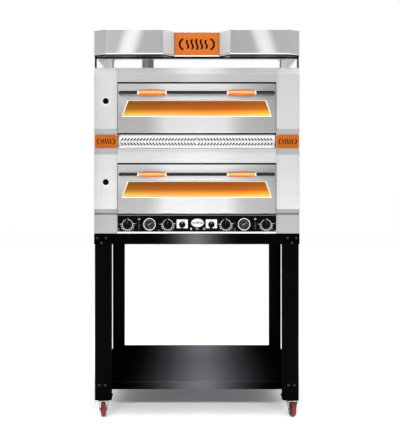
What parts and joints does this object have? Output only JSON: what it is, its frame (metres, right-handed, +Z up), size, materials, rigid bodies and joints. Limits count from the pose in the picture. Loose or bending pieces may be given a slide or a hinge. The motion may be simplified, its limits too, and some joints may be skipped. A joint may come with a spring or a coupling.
{
  "type": "electric pizza deck oven on a wheeled stand",
  "caption": "Stacked electric pizza deck oven with drop-down glazed doors, front controls, an extraction hood on posts and an open stand on swivel casters.",
  "frame": {"origin": "on the floor, under the middle of the bounding box of the whole object", "axes": "+Z up, doors face -Y, +X is to the right as seen by the cook who faces the doors"},
  "size_m": [0.93, 0.9334, 1.8],
  "materials": {
    "stand_black": "deep black gloss paint",
    "zinc": "bright zinc plate",
    "tyre_red": "red rubber tyre on a dark core",
    "steel": "fine brushed stainless",
    "orange_plate": "brushed translucent orange lacquer",
    "black_plastic": "smooth black",
    "needle": "white needle",
    "dial_case": "polished rim",
    "lining": "aluminised, heat tinted",
    "stone": "sandy fired clay",
    "heater_sheath": "dark oxidised sheath",
    "door_glass": "amber reflective oven glass",
    "dark_steel": "satin black",
    "grip_wood": "varnished orange wood",
    "flue_steel": "plain steel tube"
  },
  "bodies": {
    "oven": {"stand_leg_front_left": "stand_black", "stand_leg_front_right": "stand_black", "stand_leg_rear_left": "stand_black", "stand_leg_rear_right": "stand_black", "stand_top_frame": "stand_black", "stand_shelf": "stand_black", "chassis": "steel", "side_panel_left": "steel", "side_panel_right": "steel", "top_cover": "steel", "pillar_left": "steel", "pillar_right": "steel", "fascia_lower": "steel", "vent_band": "steel", "hood_shell": "steel", "badge_plate_left": "orange_plate", "badge_plate_right": "orange_plate", "hood_badge": "orange_plate", "control_panel": "black_plastic", "cable_gland": "black_plastic", "thermometer_case_left": "dial_case", "thermometer_case_right": "dial_case", "chamber_upper": "lining", "chamber_lower": "lining", "stone_upper": "stone", "stone_lower": "stone", "element_upper_top": "heater_sheath", "element_upper_bottom": "heater_sheath", "element_lower_top": "heater_sheath", "element_lower_bottom": "heater_sheath", "hood_frame": "dark_steel", "flue_manifold": "flue_steel"},
    "caster_front_left": {"caster_fork_front_left": "zinc"},
    "wheel_front_left": {"caster_wheel_front_left": "tyre_red"},
    "caster_front_right": {"caster_fork_front_right": "zinc"},
    "wheel_front_right": {"caster_wheel_front_right": "tyre_red"},
    "caster_rear_left": {"caster_fork_rear_left": "zinc"},
    "wheel_rear_left": {"caster_wheel_rear_left": "tyre_red"},
    "caster_rear_right": {"caster_fork_rear_right": "zinc"},
    "wheel_rear_right": {"caster_wheel_rear_right": "tyre_red"},
    "door_upper": {"door_upper_panel": "steel", "door_upper_glass": "door_glass", "door_upper_bar": "dark_steel", "door_upper_grip_left": "grip_wood", "door_upper_grip_right": "grip_wood"},
    "vent_upper": {"vent_pull_upper": "dark_steel"},
    "door_lower": {"door_lower_panel": "steel", "door_lower_glass": "door_glass", "door_lower_bar": "dark_steel", "door_lower_grip_left": "grip_wood", "door_lower_grip_right": "grip_wood"},
    "vent_lower": {"vent_pull_lower": "dark_steel"},
    "thermostat_1": {"thermostat_knob_1": "black_plastic"},
    "thermostat_2": {"thermostat_knob_2": "black_plastic"},
    "thermostat_3": {"thermostat_knob_3": "black_plastic"},
    "thermostat_4": {"thermostat_knob_4": "black_plastic"},
    "switch_left": {"switch_knob_left": "black_plastic"},
    "needle_left": {"thermometer_needle_left": "needle"},
    "switch_right": {"switch_knob_right": "black_plastic"},
    "needle_right": {"thermometer_needle_right": "needle"}
  },
  "joints": [
    {"name": "caster_front_left_swivel", "type": "hinge", "parent": "oven", "child": "caster_front_left", "pos_m": [-0.4285, -0.37325, 0.08], "axis": [0, 0, 1], "continuous": true},
    {"name": "wheel_front_left_spin", "type": "hinge", "parent": "caster_front_left", "child": "wheel_front_left", "pos_m": [-0.42393, -0.39477, 0.033], "axis": [0.9781, 0.2079, 0], "continuous": true},
    {"name": "caster_front_right_swivel", "type": "hinge", "parent": "oven", "child": "caster_front_right", "pos_m": [0.4285, -0.37325, 0.08], "axis": [0, 0, 1], "continuous": true},
    {"name": "wheel_front_right_spin", "type": "hinge", "parent": "caster_front_right", "child": "wheel_front_right", "pos_m": [0.43307, -0.39477, 0.033], "axis": [0.9781, 0.2079, 0], "continuous": true},
    {"name": "caster_rear_left_swivel", "type": "hinge", "parent": "oven", "child": "caster_rear_left", "pos_m": [-0.4285, 0.40675, 0.08], "axis": [0, 0, 1], "continuous": true},
    {"name": "wheel_rear_left_spin", "type": "hinge", "parent": "caster_rear_left", "child": "wheel_rear_left", "pos_m": [-0.42393, 0.38523, 0.033], "axis": [0.9781, 0.2079, 0], "continuous": true},
    {"name": "caster_rear_right_swivel", "type": "hinge", "parent": "oven", "child": "caster_rear_right", "pos_m": [0.4285, 0.40675, 0.08], "axis": [0, 0, 1], "continuous": true},
    {"name": "wheel_rear_right_spin", "type": "hinge", "parent": "caster_rear_right", "child": "wheel_rear_right", "pos_m": [0.43307, 0.38523, 0.033], "axis": [0.9781, 0.2079, 0], "continuous": true},
    {"name": "door_upper_hinge", "type": "hinge", "parent": "oven", "child": "door_upper", "pos_m": [0, -0.39475, 1.293], "axis": [1, 0, 0], "range_deg": [0, 90]},
    {"name": "vent_upper_slide", "type": "slide", "parent": "oven", "child": "vent_upper", "axis": [0, -1, 0], "range_m": [0, 0.05]},
    {"name": "door_lower_hinge", "type": "hinge", "parent": "oven", "child": "door_lower", "pos_m": [0, -0.39475, 0.927], "axis": [1, 0, 0], "range_deg": [0, 90]},
    {"name": "vent_lower_slide", "type": "slide", "parent": "oven", "child": "vent_lower", "axis": [0, -1, 0], "range_m": [0, 0.05]},
    {"name": "thermostat_1_turn", "type": "hinge", "parent": "oven", "child": "thermostat_1", "pos_m": [-0.314, -0.40255, 0.87], "axis": [0, 1, 0], "range_deg": [0, 270]},
    {"name": "thermostat_2_turn", "type": "hinge", "parent": "oven", "child": "thermostat_2", "pos_m": [-0.1315, -0.40255, 0.87], "axis": [0, 1, 0], "range_deg": [0, 270]},
    {"name": "thermostat_3_turn", "type": "hinge", "parent": "oven", "child": "thermostat_3", "pos_m": [0.1315, -0.40255, 0.87], "axis": [0, 1, 0], "range_deg": [0, 270]},
    {"name": "thermostat_4_turn", "type": "hinge", "parent": "oven", "child": "thermostat_4", "pos_m": [0.314, -0.40255, 0.87], "axis": [0, 1, 0], "range_deg": [0, 270]},
    {"name": "switch_left_turn", "type": "hinge", "parent": "oven", "child": "switch_left", "pos_m": [-0.066, -0.40255, 0.87], "axis": [0, 1, 0], "range_deg": [0, 90]},
    {"name": "switch_right_turn", "type": "hinge", "parent": "oven", "child": "switch_right", "pos_m": [0.066, -0.40255, 0.87], "axis": [0, 1, 0], "range_deg": [0, 90]},
    {"name": "needle_left_turn", "type": "hinge", "parent": "oven", "child": "needle_left", "pos_m": [-0.214, -0.40225, 0.872], "axis": [0, 1, 0], "range_deg": [-195, 75]},
    {"name": "needle_right_turn", "type": "hinge", "parent": "oven", "child": "needle_right", "pos_m": [0.214, -0.40225, 0.872], "axis": [0, 1, 0], "range_deg": [-195, 75]}
  ]
}
